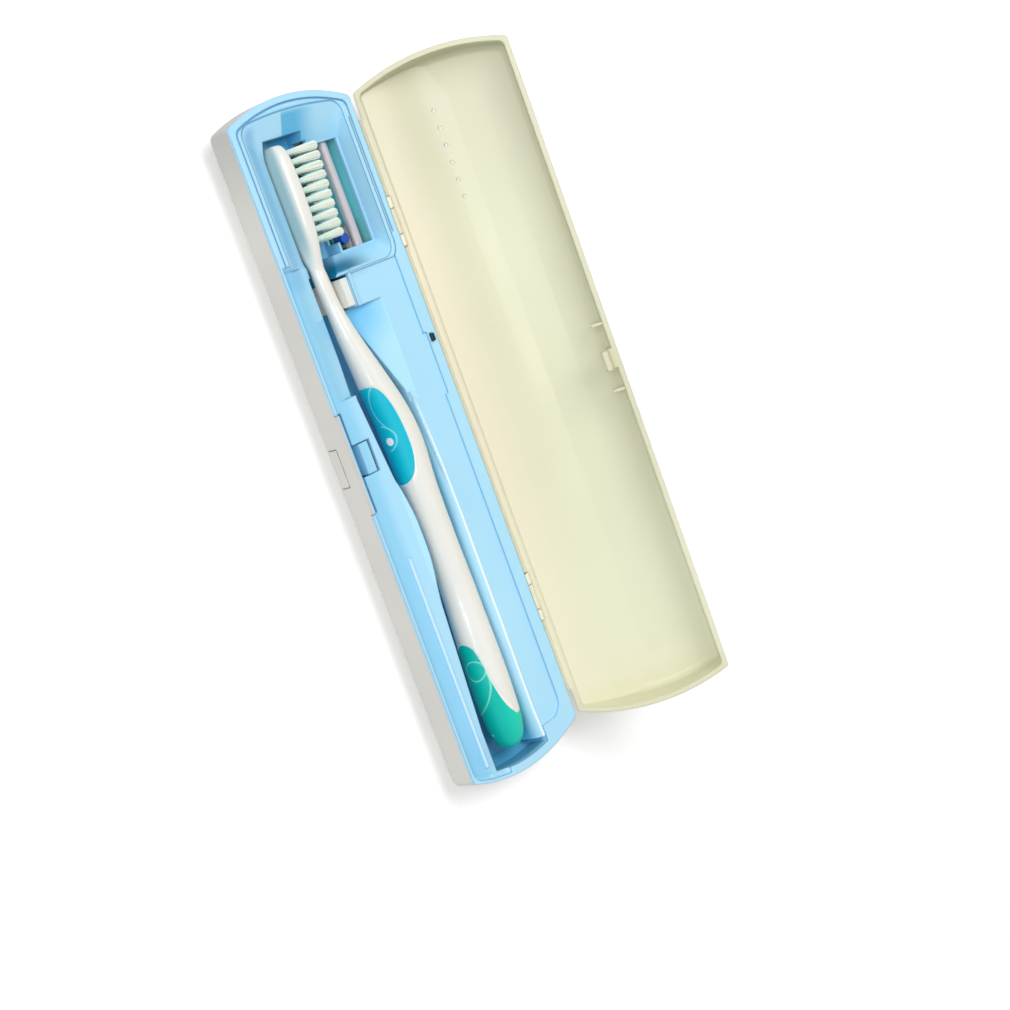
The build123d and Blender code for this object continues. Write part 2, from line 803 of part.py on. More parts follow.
# Lid
lid_outer = lid_form(0, 0)
lid_hollow = lid_form(lid_wall, -1)
with BuildPart() as lid_shell:
    add(lid_outer)
    add(lid_hollow, mode=Mode.SUBTRACT)
    for place in lid_rib_places:
        low = place - lid_rib_width / 2
        rib_y = (shell_inner - 0.5, lid_rib_edge)
        rib = block(low, low + lid_rib_width, *rib_y, lid_rim + 0.3, lid_rim + lid_rib_height)
        add(on_lid(rib))
    hook_low = hook_x - hook_length / 2
    hook_inner = hook_outer + hook_thickness
    hook_foot = lid_rim - hook_reach
    hook_x_range = (hook_low, hook_low + hook_length)
    hook_root = block(*hook_x_range, shell_inner - 0.5, hook_inner, lid_rim, lid_rim + lid_rib_height)
    add(on_lid(hook_root))
    add(on_lid(block(*hook_x_range, hook_outer, hook_inner, hook_foot, lid_rim + 1)))
    with BuildSketch(lid_section.offset(hook_low)):
        Polygon(
            (hook_inner - 0.2, -hook_reach),
            (hook_inner + hook_barb * 0.4, -hook_reach),
            (hook_inner + hook_barb, -hook_reach + 1.0),
            (hook_inner - 0.2, -hook_reach + 2.4),
            align=None,
        )
    extrude(amount=hook_length)
    skirt_reach = corner_length / 2 - lid_skirt_end
    skirt_in = half_width + lid_skirt_gap
    with BuildSketch(lid_section.offset(-skirt_reach)):
        Polygon(
            (half_width - lid_wall / 2, 0),
            (skirt_in, 0),
            (skirt_in, -lid_skirt),
            (skirt_in + lid_skirt_wall, -lid_skirt),
            (skirt_in + lid_skirt_wall, -lid_skirt / 2),
            (half_width - 0.1, lid_hinge_rise),
            (half_width - lid_wall / 2, lid_hinge_rise / 2),
            align=None,
        )
    extrude(amount=2 * skirt_reach)
    for station in hinge_stations:
        for low in (station - hinge_reach, station + lid_knuckle / 2):
            high = low + hinge_reach - lid_knuckle / 2
            add(on_lid(bar(knuckle_clear, low, high, hinge_y, hinge_z)), mode=Mode.SUBTRACT)
        start = station - lid_knuckle / 2
        add(on_lid(bar(knuckle_radius, start, start + lid_knuckle, hinge_y, hinge_z)))
        with BuildSketch(lid_section.offset(start)):
            Polygon(
                (half_width - 0.4, 0),
                (half_width - 0.4, lid_hinge_rise - 0.4),
                (half_width - 0.1, lid_hinge_rise),
                (hinge_y + knuckle_radius * 0.82, -rim_rise + knuckle_radius * 0.53),
                (hinge_y, -rim_rise),
                (skirt_in, 0),
                align=None,
            )
        extrude(amount=lid_knuckle)
        add(
            on_lid(bar(pin_radius + pin_fit, start - 1, start + lid_knuckle + 1, hinge_y, hinge_z)),
            mode=Mode.SUBTRACT,
        )
    for number in range(vent_count):
        x = vent_first + number * vent_pitch
        add(on_lid(post(vent_radius, x, vent_y, lid_rim, lid_rim + lid_height + 1)), mode=Mode.SUBTRACT)
write(lid_shell, "lid_shell")

# Hinge pins
for station, name in zip(hinge_stations, ("hinge_pin_head", "hinge_pin_handle")):
    with BuildPart() as hinge_pin:
        reach = lid_swing + base_knuckle
        add(bar(pin_radius, station - reach, station + reach, hinge_y, hinge_z))
    write(hinge_pin, name)

# Latch button with its retaining flange
flange_back = shell_inner + seat_gap + button_flange
with BuildPart() as latch_button:
    half = button_length / 2
    add(block(-half, half, -half_width - button_proud, shell_inner + seat_gap, button_low, button_high))
    outer = latch_button.faces().sort_by(Axis.Y)[0]
    fillet(outer.edges(), radius=button_round)
    half = button_length / 2 + button_flange_extra
    add(block(-half, half, shell_inner + seat_gap, flange_back, button_low + 0.1, button_high))
write(latch_button, "latch_button")

# Catch block behind the hook, carried by the button's stem
with BuildPart() as latch_catch:
    add(block(catch_low, catch_high, catch_front, catch_back, button_low + 0.1, ledge_top + 0.4))
    half = stem_length / 2
    stem_top = button_low + 0.1 + stem_height
    add(block(hook_x - half, hook_x + half, flange_back, catch_front + 0.5, button_low + 0.1, stem_top))
write(latch_catch, "latch_catch")

# Lid switch
switch_top = plate_underside - seat_gap
plunger_top = lid_rim - 0.05 + plunger_travel
plunger_foot = plunger_top - plunger_height
with BuildPart() as lid_switch_body:
    half = switch_length / 2
    body_y = (half_width - shell_wall - 0.2 - switch_width, half_width - shell_wall - 0.2)
    add(block(switch_x - half, switch_x + half, *body_y, switch_top - switch_height, switch_top))
    add(
        block(*slot_x, *slot_y, plunger_foot - plunger_travel - plunger_fit, switch_top + 1),
        mode=Mode.SUBTRACT,
    )
write(lid_switch_body, "lid_switch_body")

with BuildPart() as switch_plunger:
    half = plunger_length / 2
    side = plunger_width / 2
    add(block(switch_x - half, switch_x + half, switch_y - side, switch_y + side, plunger_foot, plunger_top))
    fillet(switch_plunger.edges().filter_by(Axis.Z), radius=0.2)
write(switch_plunger, "switch_plunger")

# Lamp with its two holders and the bent reflector behind it
with BuildPart() as uv_lamp:
    half = lamp_length / 2
    add(bar(lamp_radius, lamp_x - half, lamp_x + half, lamp_y, lamp_z))
    fillet(uv_lamp.edges().filter_by(GeomType.CIRCLE), radius=0.7)
write(uv_lamp, "uv_lamp")

for side, name in ((-1, "lamp_holder_head"), (1, "lamp_holder_neck")):
    with BuildPart() as lamp_holder:
        middle = lamp_x + side * (lamp_length - holder_length) / 2
        low = middle - holder_length / 2
        half = holder_size / 2
        add(block(low, low + holder_length, lamp_y - half, lamp_y + half, holder_foot, holder_top))
        through = (low - 1, low + holder_length + 1)
        add(bar(lamp_radius + lamp_fit, *through, lamp_y, lamp_z), mode=Mode.SUBTRACT)
    write(lamp_holder, name)

with BuildPart() as lamp_reflector:
    leg_end = board_head - reflector_play
    plate_head = window_head + reflector_play
    plate_neck = window_neck - reflector_play
    back_z = reflector_z + reflector_sheet
    back_y = (reflector_y, reflector_y + reflector_sheet)
    add(block(plate_head, plate_neck, *back_y, back_z + 0.2, reflector_top))
    add(block(plate_head, leg_end, *back_y, reflector_z, back_z + 0.3))
    add(block(plate_head, leg_end, reflector_leg, reflector_y + 0.2, reflector_z, back_z))
    add(tray_envelope, mode=Mode.INTERSECT)
write(lamp_reflector, "lamp_reflector")

# Circuit board with its parts
with BuildPart() as circuit_board:
    board_top = board_z + board_thickness
    nose = board_side + board_nose
    add(block(board_head, board_nose_end + 1, board_side, nose, board_z, board_top))
    add(block(board_nose_end, board_end, board_side, board_side + board_width, board_z, board_top))
write(circuit_board, "circuit_board")

with BuildPart() as inverter_transformer:
    length, width, height = transformer_size
    core = (transformer_head, transformer_end, transformer_y - width / 2, transformer_y + width / 2)
    add(block(*core, board_top, board_top + height))
    fillet(inverter_transformer.edges().filter_by(Axis.Z), radius=0.8)
    add(block(core[0], core[1], core[2], core[3], board_top, board_top + 0.8))
write(inverter_transformer, "inverter_transformer")

with BuildPart() as timer_chip:
    length, width, height = chip_size
    x, y = (board_head + chip_place[0], chip_place[1])
    body = (x - length / 2, x + length / 2, y - width / 2, y + width / 2)
    add(block(*body, board_top, board_top + height))
    chamfer(timer_chip.faces().sort_by(Axis.Z)[-1].edges(), length=0.2)
write(timer_chip, "timer_chip")

with BuildPart() as board_capacitors:
    x, y, radius, height = small_capacitor
    add(post(radius, board_head + x, y, board_top, board_top + height))
    for x, y, radius, height in large_capacitors:
        add(post(radius, transformer_end + x, y, board_top, board_top + height))
    fillet(board_capacitors.faces().filter_by(Axis.Z).group_by(Axis.Z)[-1].edges(), radius=0.3)
write(board_capacitors, "board_capacitors")

# Two batteries in line, with contact plates against the tray's ribs
for number in (0, 1):
    with BuildPart() as battery:
        start = battery_start + number * (battery_length + battery_gap)
        can_end = start + battery_length - nub_length
        add(bar(battery_radius, start, can_end, battery_y, battery_z))
        fillet(battery.edges().filter_by(GeomType.CIRCLE), radius=0.4)
        add(bar(nub_radius, can_end - 0.2, start + battery_length, battery_y, battery_z))
    write(battery, f"battery_{number + 1}")

contact_faces = (
    ("battery_contact_minus", battery_start - contact_nose, -1),
    ("battery_contact_plus", battery_end + contact_nose, 1),
)
for name, face, side in contact_faces:
    with BuildPart() as contact:
        low = min(face, face + side * contact_sheet)
        half = contact_width / 2
        rise = contact_height / 2
        across = (battery_y - half, battery_y + half, battery_z - rise, battery_z + rise)
        add(block(low, low + contact_sheet, *across))
        tip = face - side * (contact_nose - 0.05)
        add(bar(contact_nose_radius, min(face, tip), max(face, tip), battery_y, battery_z))
        add(tray_envelope, mode=Mode.INTERSECT)
    write(contact, name)

# Screws from below
with BuildPart() as case_screws:
    for x, y in screw_places:
        add(post(screw_head_radius, x, y, screw_recess - screw_head_height, screw_recess))
        add(post(screw_radius, x, y, screw_recess - 0.2, screw_tip))
        slot_depth = screw_recess - screw_head_height + 0.6
        add(block(x - 1.1, x + 1.1, y - 0.25, y + 0.25, 0, slot_depth), mode=Mode.SUBTRACT)
        add(block(x - 0.25, x + 0.25, y - 1.1, y + 1.1, 0, slot_depth), mode=Mode.SUBTRACT)
write(case_screws, "case_screws")

# Neck rest: a block in the channel with an open notch for the brush's neck
neck_middle = (chamber_neck + channel_end) / 2
neck_x = (neck_middle - neck_rest_length / 2, neck_middle + neck_rest_length / 2)
with BuildPart() as handle_form:
    for x, y, width in handle_sections:
        with BuildSketch(Plane.YZ.offset(x)):
            with Locations((y, brush_z)):
                Circle(width / 2)
    loft()
neck_y = (handle_sections[1][1] + handle_sections[3][1]) / 2
neck_radius = max(handle_sections[2][2], handle_sections[3][2]) / 2 + neck_gap
with BuildPart() as neck_rest:
    sides = (slot_left + neck_rest_fit, channel_right - neck_rest_fit)
    add(block(*neck_x, *sides, slot_floor + seat_gap, neck_rest_top))
    add(bar(neck_radius, neck_x[0] - 1, neck_x[1] + 1, neck_y, brush_z), mode=Mode.SUBTRACT)
    notch = (sides[0] - 1, neck_y + neck_radius)
    add(block(neck_x[0] - 1, neck_x[1] + 1, *notch, brush_z, neck_rest_top + 1), mode=Mode.SUBTRACT)
    low_side = (sides[0] - 1, neck_y)
    add(block(neck_x[0] - 1, neck_x[1] + 1, *low_side, neck_rest_low, neck_rest_top + 1), mode=Mode.SUBTRACT)
write(neck_rest, "neck_rest")

# Toothbrush: soft grips let into the handle
with BuildPart() as upper_lens:
    with BuildSketch(Plane.XY):
        with BuildLine():
            rise = upper_grip_edge - upper_grip_back
            centre = (upper_grip_peak, upper_grip_back)
            ahead = upper_grip_end - upper_grip_peak
            behind = upper_grip_peak - upper_grip_start
            EllipticalCenterArc(centre, ahead, rise, start_angle=0, arc_size=90)
            EllipticalCenterArc(centre, behind, rise, start_angle=90, arc_size=90)
            Line((upper_grip_start, upper_grip_back), (upper_grip_end, upper_grip_back))
        make_face()
    extrude(amount=2 * brush_z)
with BuildPart() as dot_form:
    with BuildSketch(Plane.XZ.offset(grip_depth)):
        with Locations((dot_x, brush_z + dot_rise)):
            Circle(dot_radius)
    extrude(amount=half_width)
with BuildPart() as lower_region:
    with BuildSketch(Plane.XY):
        with BuildLine():
            foot = (tongue_start, slot_left_end[1])
            edge = Polyline(foot, tongue_bend, tongue_side, tongue_run, tongue_turn)
            tip = ThreePointArc(edge @ 1, tongue_tip, tongue_return)
            out = Polyline(tip @ 1, tongue_far, (slot_far, tongue_far[1]))
            back = Line(out @ 1, (slot_far, slot_left_end[1]))
            Line(back @ 1, edge @ 0)
        make_face()
    extrude(amount=2 * brush_z)

with BuildPart() as brush_grip_upper:
    add(upper_lens.part)
    add(dot_form.part, mode=Mode.SUBTRACT)
    add(handle_form.part, mode=Mode.INTERSECT)
write(brush_grip_upper, "brush_grip_upper")

with BuildPart() as brush_grip_dot:
    add(dot_form.part)
    add(handle_form.part, mode=Mode.INTERSECT)
write(brush_grip_dot, "brush_grip_dot")

with BuildPart() as brush_grip_lower:
    add(lower_region.part)
    add(handle_form.part, mode=Mode.INTERSECT)
write(brush_grip_lower, "brush_grip_lower")

# Toothbrush: bristles in tufts on a slice of the head
tuft_half = (strands_across - 1) * strand_pitch / 2 + strand_side / 2
backing_x = (
    tuft_first - tuft_half - backing_margin,
    tuft_first + (tuft_rows - 1) * tuft_pitch + tuft_half + backing_margin,
)
backing_rise = (tuft_lines - 1) * tuft_line_pitch / 2 + tuft_half + backing_margin
root = head_face - backing / 2
tuft_plane = Plane(origin=(0, root, brush_z), x_dir=(1, 0, 0), z_dir=(0, 1, 0))
strands = []
for row in range(tuft_rows):
    x = tuft_first + row * tuft_pitch
    shorter = (longest_bristle - shortest_bristle) * row / (tuft_rows - 1)
    with BuildPart() as tuft_row:
        with BuildSketch(tuft_plane):
            with Locations((x, 0)):
                with GridLocations(1, tuft_line_pitch, 1, tuft_lines):
                    with GridLocations(strand_pitch, strand_pitch, strands_across, strands_across):
                        Rectangle(strand_side, strand_side)
        extrude(amount=longest_bristle - shorter + backing / 2)
    strands += tuft_row.solids()
with BuildPart() as brush_bristles:
    add(block(*backing_x, head_face - backing, head_face, brush_z - backing_rise, brush_z + backing_rise))
    add(strands)
write(brush_bristles, "brush_bristles")

# Toothbrush: head plate, neck and handle
with BuildPart() as toothbrush_body:
    half = head_width / 2
    head_end = head_tip + head_length
    add(block(head_tip, head_end, head_face - head_thickness, head_face, brush_z - half, brush_z + half))
    fillet(toothbrush_body.edges().filter_by(Axis.Y), radius=head_round)
    fillet(toothbrush_body.faces().sort_by(Axis.Y)[0].edges(), radius=head_edge)
    add(handle_form.part)
    add(lower_region.part, mode=Mode.SUBTRACT)
    add(upper_lens.part, mode=Mode.SUBTRACT)
    add(dot_form.part, mode=Mode.SUBTRACT)
    add(
        block(
            backing_x[0] - backing_fit,
            backing_x[1] + backing_fit,
            head_face - backing - backing_fit,
            head_face + 1,
            brush_z - backing_rise - backing_fit,
            brush_z + backing_rise + backing_fit,
        ),
        mode=Mode.SUBTRACT,
    )
write(toothbrush_body, "toothbrush_body")
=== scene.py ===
import math
import random

import bmesh
import bpy
from mathutils import Matrix, Vector


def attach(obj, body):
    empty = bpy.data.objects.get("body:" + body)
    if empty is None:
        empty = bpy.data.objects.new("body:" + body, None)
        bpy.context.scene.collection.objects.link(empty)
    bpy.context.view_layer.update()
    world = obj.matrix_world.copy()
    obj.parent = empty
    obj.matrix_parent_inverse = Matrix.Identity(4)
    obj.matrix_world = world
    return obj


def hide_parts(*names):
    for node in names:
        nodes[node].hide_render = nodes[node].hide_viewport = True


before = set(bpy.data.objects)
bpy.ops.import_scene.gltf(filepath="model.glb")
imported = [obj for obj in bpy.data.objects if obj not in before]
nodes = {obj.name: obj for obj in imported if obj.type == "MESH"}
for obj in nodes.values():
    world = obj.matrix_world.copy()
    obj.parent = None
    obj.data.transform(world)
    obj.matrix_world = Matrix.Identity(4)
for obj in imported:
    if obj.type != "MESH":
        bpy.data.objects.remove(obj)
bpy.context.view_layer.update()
scene = bpy.context.scene


# Base shell: a smooth satin ivory moulding. Its wall is straight at the rim and turns in
# below it, so that the flat sole is narrower than the rim. The battery cover in the sole and
# the latch button in the front wall are moulded in the same plastic.
def linear(colour):
    """Display values of 0 to 255 as the linear colour that a shader takes, opaque."""
    shares = (value / 255 for value in colour)
    return (*(s / 12.92 if s <= 0.0404 else ((s + 0.055) / 1.055) ** 2.4 for s in shares), 1)


def link(tree, source, output, target, socket):
    tree.links.new(source.outputs[output], target.inputs[socket])


def fill(node, values):
    """Sets a node's sockets by their names."""
    for socket, value in values.items():
        node.inputs[socket].default_value = value


def moulded(name, colour, deeper, roughness, grain=0.04, coat=0.0, rounding=0.0, specular=0.5):
    """Moulded plastic: its colour drifts a little through the wall and its skin has a fine grain."""
    material = bpy.data.materials.new(name)
    material.use_nodes = True
    tree = material.node_tree
    shader = tree.nodes["Principled BSDF"]
    fill(shader, {"Roughness": roughness, "Specular IOR Level": specular})
    fill(shader, {"Coat Weight": coat, "Coat Roughness": 0.12})
    place = tree.nodes.new("ShaderNodeTexCoord")
    place.name = "place"
    drift = tree.nodes.new("ShaderNodeTexNoise")
    fill(drift, {"Scale": 28.0, "Detail": 2.0})
    ramp = tree.nodes.new("ShaderNodeValToRGB")
    deep_end, pale_end = ramp.color_ramp.elements
    deep_end.position, deep_end.color = 0.3, linear(deeper)
    pale_end.position, pale_end.color = 0.75, linear(colour)
    texture = tree.nodes.new("ShaderNodeTexNoise")
    fill(texture, {"Scale": 2600.0, "Detail": 1.0})
    bump = tree.nodes.new("ShaderNodeBump")
    fill(bump, {"Strength": grain, "Distance": 0.0002})
    link(tree, place, "Object", drift, "Vector")
    link(tree, drift, "Fac", ramp, "Fac")
    link(tree, ramp, "Color", shader, "Base Color")
    link(tree, place, "Object", texture, "Vector")
    link(tree, texture, "Fac", bump, "Height")
    if rounding:
        edge = tree.nodes.new("ShaderNodeBevel")
        edge.samples = 4
        fill(edge, {"Radius": rounding})
        link(tree, edge, "Normal", bump, "Normal")
    link(tree, bump, "Normal", shader, "Normal")
    return material


def ease(material, source, start, end):
    """A mask that rises softly as a measure goes from start to end, in millimetres."""
    step = material.node_tree.nodes.new("ShaderNodeMapRange")
    step.interpolation_type = "SMOOTHSTEP"
    fill(step, {"From Min": min(start, end) / 1000, "From Max": max(start, end) / 1000})
    fill(step, {"To Min": float(start > end), "To Max": float(start < end)})
    material.node_tree.links.new(source, step.inputs["Value"])
    return step.outputs["Result"]


lengthwise, crosswise, upwards = (1, 0, 0), (0, 1, 0), (0, 0, 1)


def along(material, direction, start, end):
    """A mask that rises from start to end along a direction, in millimetres."""
    tree = material.node_tree
    reach = tree.nodes.new("ShaderNodeVectorMath")
    reach.operation = "DOT_PRODUCT"
    reach.inputs[1].default_value = direction
    link(tree, tree.nodes["place"], "Object", reach, 0)
    return ease(material, reach.outputs["Value"], start, end)


def overlap(material, *masks):
    """The mask where all the given masks are full."""
    tree = material.node_tree
    result = masks[0]
    for mask in masks[1:]:
        product = tree.nodes.new("ShaderNodeMath")
        product.operation = "MULTIPLY"
        tree.links.new(result, product.inputs[0])
        tree.links.new(mask, product.inputs[1])
        result = product.outputs[0]
    return result


def between(material, direction, rise, fall):
    """A mask that rises over one stretch of a direction and falls over a later one."""
    rising = along(material, direction, *rise)
    return overlap(material, rising, along(material, direction, *reversed(fall)))


def named(sockets, identifier):
    """A Mix node has several sockets of one name, which only their identifiers tell apart."""
    return next(socket for socket in sockets if socket.identifier == identifier)


def tint(material, mask, colour, strength=1.0):
    """Lays another colour over the plastic's own where a mask is full."""
    tree = material.node_tree
    base = tree.nodes["Principled BSDF"].inputs["Base Color"]
    weight = tree.nodes.new("ShaderNodeMath")
    weight.operation = "MULTIPLY"
    weight.inputs[1].default_value = strength
    tree.links.new(mask, weight.inputs[0])
    mix = tree.nodes.new("ShaderNodeMix")
    mix.data_type = "RGBA"
    named(mix.inputs, "B_Color").default_value = linear(colour)
    tree.links.new(weight.outputs[0], named(mix.inputs, "Factor_Float"))
    tree.links.new(base.links[0].from_socket, named(mix.inputs, "A_Color"))
    tree.links.new(named(mix.outputs, "Result_Color"), base)


def dress(material, *names):
    """Gives CAD nodes their material."""
    for name in names:
        mesh = nodes[name].data
        mesh.materials.clear()
        mesh.materials.append(material)


edge_rounding = 0.0006
ivory = moulded(
    "ivory_shell_plastic",
    colour=(207, 206, 200),
    deeper=(200, 199, 193),
    roughness=0.4,
    grain=0.05,
    coat=0.15,
    rounding=edge_rounding,
)
shaded_head_end = along(ivory, lengthwise, -70.0, -107.0)
tint(ivory, shaded_head_end, colour=(172, 174, 169), strength=0.85)
cream_knuckles = along(ivory, crosswise, 25.02, 25.2)
tint(ivory, cream_knuckles, colour=(238, 234, 212))
latch_gap = overlap(
    ivory,
    between(ivory, crosswise, (-24.4, -24.1), (-20.5, -19.5)),
    between(ivory, lengthwise, (-17.5, -16.5), (16.5, 17.5)),
    along(ivory, upwards, 11.0, 12.0),
)
tint(ivory, latch_gap, colour=(160, 214, 244))
dress(ivory, "base_shell", "battery_cover", "latch_button")


# Inner tray: one thin light blue moulding with the rim, the deck over the batteries, the
# head chamber and the long trough. Shade is painted into its blue deeper down in the chamber
# and trough, in the rim's groove, on the chamber's slopes, in the scoop, on the ledge and at
# the trough's end, and a highlight is painted on the ledge's ridge. The catch block behind
# the latch button is moulded in the same blue.
def distance(material, centre, flat):
    """How far a point is from a place, with each direction counted as much as flat says."""
    tree = material.node_tree
    spread = tree.nodes.new("ShaderNodeVectorMath")
    spread.operation = "MULTIPLY"
    spread.inputs[1].default_value = flat
    link(tree, tree.nodes["place"], "Object", spread, 0)
    away = tree.nodes.new("ShaderNodeVectorMath")
    away.operation = "DISTANCE"
    away.inputs[1].default_value = [c * f / 1000 for c, f in zip(centre, flat)]
    link(tree, spread, "Vector", away, 0)
    return away.outputs["Value"]


def around(material, centre, inner, outer, flat=(1, 1, 1)):
    """A mask that is full within the inner distance of a place and gone past the outer one."""
    return ease(material, distance(material, centre, flat), outer, inner)


tray_blue, tray_blue_deeper = (176, 226, 251), (169, 222, 249)
rim_top, deck_height = 16.0, 15.2
sky = moulded(
    "light_blue_tray_plastic",
    colour=tray_blue,
    deeper=tray_blue_deeper,
    roughness=0.34,
    grain=0.05,
    coat=0.25,
    rounding=edge_rounding,
)
# Painted shade: the blue darkens from just below the rim down into the chamber and trough.
depth = along(sky, upwards, rim_top - 1.5, rim_top - 10)
tint(sky, depth, colour=(112, 190, 230), strength=0.85)
# Painted shade along a thin band just under the rim's top, in its groove.
rim_groove_painted_shade = between(sky, upwards, (rim_top - 0.55, rim_top - 0.5), (rim_top - 0.3, rim_top - 0.25))
tint(sky, rim_groove_painted_shade, colour=(72, 150, 205), strength=0.8)
below_rim = along(sky, upwards, rim_top - 0.6, rim_top - 1.5)
# Painted shadow on the chamber's slope at the neck end.
neck_slope_painted_shadow = overlap(
    sky,
    between(sky, lengthwise, (-59.5, -55.2), (-52.0, -50.0)),
    between(sky, crosswise, (-13.5, -9.0), (1.0, 14.5)),
    below_rim,
)
tint(sky, neck_slope_painted_shadow, colour=(0, 110, 150))
# Painted shade in a band down the head end of the chamber.
head_chamber_painted_shade = overlap(
    sky,
    between(sky, crosswise, (-3.5, -2.7), (1.5, 12.5)),
    along(sky, lengthwise, -88.0, -91.5),
    along(sky, upwards, rim_top - 0.2, rim_top - 1.2),
)
tint(sky, head_chamber_painted_shade, colour=(66, 174, 224), strength=0.85)
# Painted shade in the scoop where the trough widens at the neck.
scoop_painted_shade = overlap(
    sky,
    around(sky, (-42.5, -3.0, 12.5), 3.0, 19.0),
    along(sky, lengthwise, -42.7, -42.4),
    along(sky, upwards, deck_height - 0.01, deck_height - 0.3),
)
tint(sky, scoop_painted_shade, colour=(92, 188, 238), strength=0.9)
# Painted shade on the chamber's slope on the latch side.
latch_slope_painted_shade = overlap(
    sky,
    along(sky, crosswise, -13.0, -17.0),
    along(sky, lengthwise, -50.0, -56.0),
    below_rim,
)
tint(sky, latch_slope_painted_shade, colour=(112, 184, 232), strength=0.65)
# Painted shade at the deep end of the trough.
trough_end_painted_shade = overlap(
    sky,
    along(sky, lengthwise, 84.0, 98.0),
    along(sky, upwards, deck_height - 0.4, deck_height - 2.7),
)
tint(sky, trough_end_painted_shade, colour=(50, 142, 184), strength=0.75)
ledge_shade = overlap(
    sky,
    along(sky, crosswise, -13.5, -19.0),
    along(sky, lengthwise, -57.5, -54.5),
    along(sky, upwards, deck_height, deck_height - 0.4),
)
tint(sky, ledge_shade, colour=(120, 198, 238), strength=0.55)
# Painted highlight along the crest of the ridge on the ledge.
ridge_painted_highlight = overlap(
    sky,
    between(sky, upwards, (deck_height - 0.75, deck_height - 0.45), (deck_height - 0.1, deck_height + 0.1)),
    between(sky, crosswise, (-17.3, -16.8), (-16.0, -15.5)),
    along(sky, lengthwise, 31.0, 34.0),
)
tint(sky, ridge_painted_highlight, colour=(222, 243, 253), strength=0.7)
dress(sky, "inner_tray", "latch_catch")


# Trough lip: the rounded edge along the hinge side of the trough. It is the same moulding as
# the tray, glossier, and rolls over from the deck down to the brush, with shade painted on its
# flank and a highlight painted along its crest.
def millimetres(*values):
    return tuple(value / 1000 for value in values)


def only(kind, geometry):
    """The vertices, edges or faces among what a mesh operator gives back."""
    return [item for item in geometry if isinstance(item, kind)]


def finished(form, name, sharp):
    """The form as an outward-facing and smoothly shaded mesh, creased at edges past an angle."""
    bmesh.ops.recalc_face_normals(form, faces=form.faces)
    for face in form.faces:
        face.smooth = True
    mesh = bpy.data.meshes.new(name)
    form.to_mesh(mesh)
    form.free()
    mesh.set_sharp_from_angle(angle=math.radians(sharp))
    return mesh


def mesh_object(name, mesh, material):
    """A new piece at the origin, with its place in its mesh."""
    mesh.materials.clear()
    mesh.materials.append(material)
    piece = bpy.data.objects.new(name, mesh)
    scene.collection.objects.link(piece)
    return piece


# Each station is a place along the case, a place across it and a size of the lip's profile.
lip_stations = (
    (-13.0, 7.0, 0.1),
    (-9.0, 7.6, 0.25),
    (0.0, 8.3, 0.45),
    (12.0, 8.9, 0.6),
    (28.0, 9.1, 0.75),
    (48.0, 9.0, 0.85),
    (66.0, 9.0, 0.85),
    (78.0, 8.9, 0.8),
    (86.0, 8.8, 0.8),
    (93.0, 8.8, 0.85),
    (102.0, 9.4, 0.8),
)
lip_crest = ((1.9, -0.35), (1.1, 0.08), (0.5, 0.3), (-0.1, 0.36), (-0.8, 0.12), (-1.5, -0.6))
lip_wall = ((-2.1, -1.8), (-2.5, -3.4), (-2.7, -5.6), (-2.8, -8.6), (-2.8, -10.2), (1.9, -10.2))
lip_profile = lip_crest + lip_wall
lip_form = bmesh.new()
lip_x, lip_y, lip_size = lip_stations[0]
ring = [lip_form.verts.new(millimetres(lip_x, lip_y + y * lip_size, deck_height + z)) for y, z in lip_profile]
lip_face = lip_form.faces.new(ring)
for lip_x, lip_y, lip_size in lip_stations[1:]:
    lip_face = only(bmesh.types.BMFace, bmesh.ops.extrude_face_region(lip_form, geom=[lip_face])["geom"])[0]
    places = [vert.co.copy() for vert in ring]
    ring = [min(lip_face.verts, key=lambda vert: (vert.co - place).length) for place in places]
    for vert, (y, z) in zip(ring, lip_profile):
        vert.co = millimetres(lip_x, lip_y + y * lip_size, deck_height + z)
lip_blue = moulded(
    "polished_lip_painted_light",
    colour=tray_blue,
    deeper=tray_blue_deeper,
    roughness=0.22,
    grain=0.03,
    coat=0.5,
)
# Painted shade on the lip's flank below the deck.
lip_painted_depth_shade = along(lip_blue, upwards, deck_height - 1.0, deck_height - 4.7)
tint(lip_blue, lip_painted_depth_shade, colour=(84, 190, 226))
# Painted highlight along the lip's crest.
lip_crest_painted_highlight = along(lip_blue, upwards, deck_height + 0.15, deck_height + 0.28)
tint(lip_blue, lip_crest_painted_highlight, colour=(236, 248, 253))
trough_lip = mesh_object("trough_lip", finished(lip_form, "trough_lip", 50.0), lip_blue)
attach(trough_lip, "base")

# Chamber foot: the sloping wall at the neck end of the head chamber, beside the brush's neck.
# It carries the chamber's slope on from the window down to the slot, in the tray's plastic.
foot_plan = ((-52.6, -5.1), (-52.6, 5.0), (-59.0, 5.0), (-59.0, 1.2))
foot_middle, foot_high, foot_low, foot_sole = -55.0, 15.75, 10.5, 5.0
foot_rounding = 0.4
foot_form = bmesh.new()
foot_face = foot_form.faces.new([foot_form.verts.new(millimetres(x, y, foot_sole)) for x, y in foot_plan])
for vert in only(bmesh.types.BMVert, bmesh.ops.extrude_face_region(foot_form, geom=[foot_face])["geom"]):
    vert.co.z = (foot_high if vert.co.x > foot_middle / 1000 else foot_low) / 1000
bmesh.ops.bevel(
    foot_form,
    geom=foot_form.edges[:],
    offset=foot_rounding / 1000,
    segments=3,
    profile=0.5,
    affect="EDGES",
    material=-1,
    clamp_overlap=True,
)
chamber_foot = mesh_object("chamber_foot", finished(foot_form, "chamber_foot", 50.0), sky)
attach(chamber_foot, "base")

